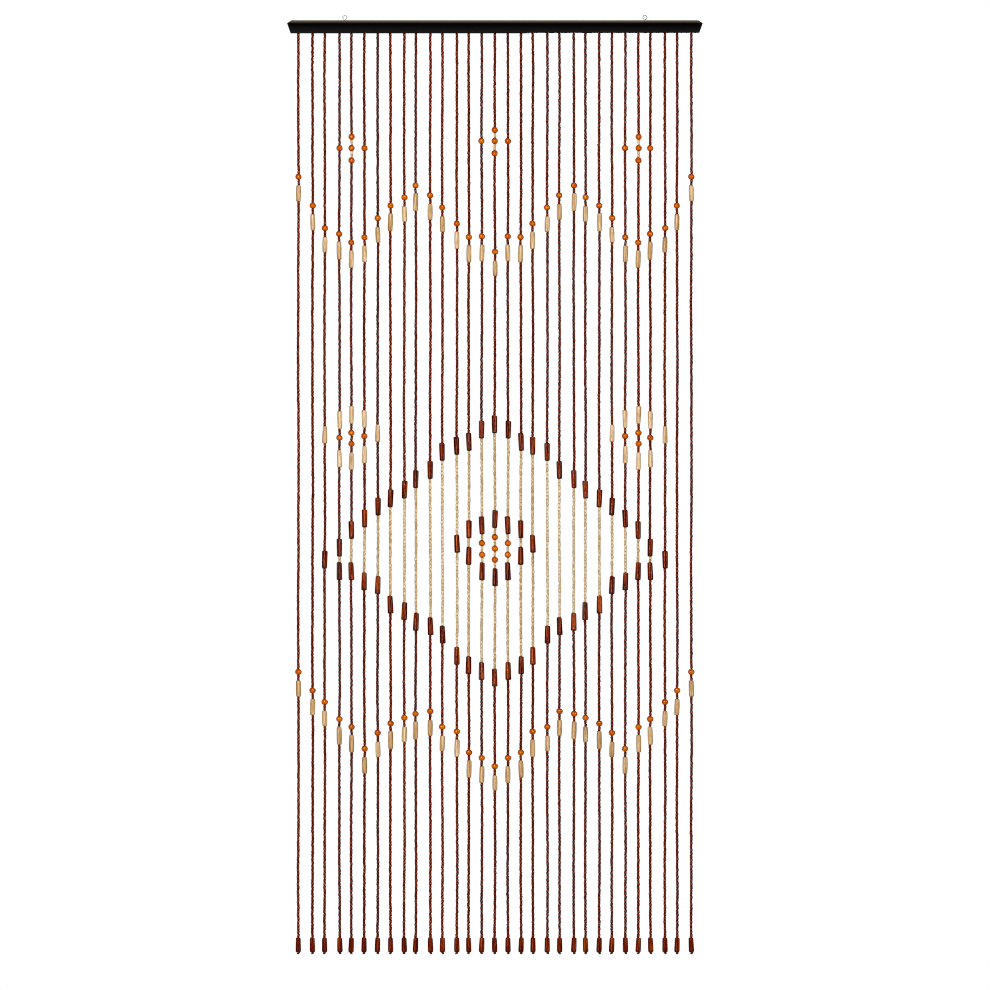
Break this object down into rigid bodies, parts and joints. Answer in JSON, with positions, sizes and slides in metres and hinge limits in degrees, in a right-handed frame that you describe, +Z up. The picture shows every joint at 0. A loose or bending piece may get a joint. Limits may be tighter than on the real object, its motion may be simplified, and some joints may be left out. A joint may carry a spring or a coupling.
{
  "type": "bead curtain with rail",
  "caption": "Door curtain of straight hanging bead strings with a diamond and zigzags in larger beads, on a narrow black rail with wire hanging eyes.",
  "frame": {"origin": "midway between the centres of the hanging eyes, in the plane of the strings", "axes": "+Z up along the strings, +X along the rail to the right as seen from the front, +Y to the back; the front faces -Y"},
  "size_m": [0.9, 0.022, 2.0396],
  "materials": {
    "rail": "black satin lacquer",
    "screw_eye": "bright zinc plate",
    "brown_bead": "mahogany stain under gloss lacquer",
    "cream_bead": "natural, satin",
    "amber_ball": "amber dye under gloss lacquer",
    "pale_tube": "natural, satin lacquer",
    "brown_tube": "reddish brown stain under gloss lacquer",
    "cord": "waxed dark thread"
  },
  "bodies": {
    "root": {"rail": "rail", "screw_eye_left": "screw_eye", "screw_eye_right": "screw_eye", "strings": "brown_bead"}
  },
  "joints": []
}
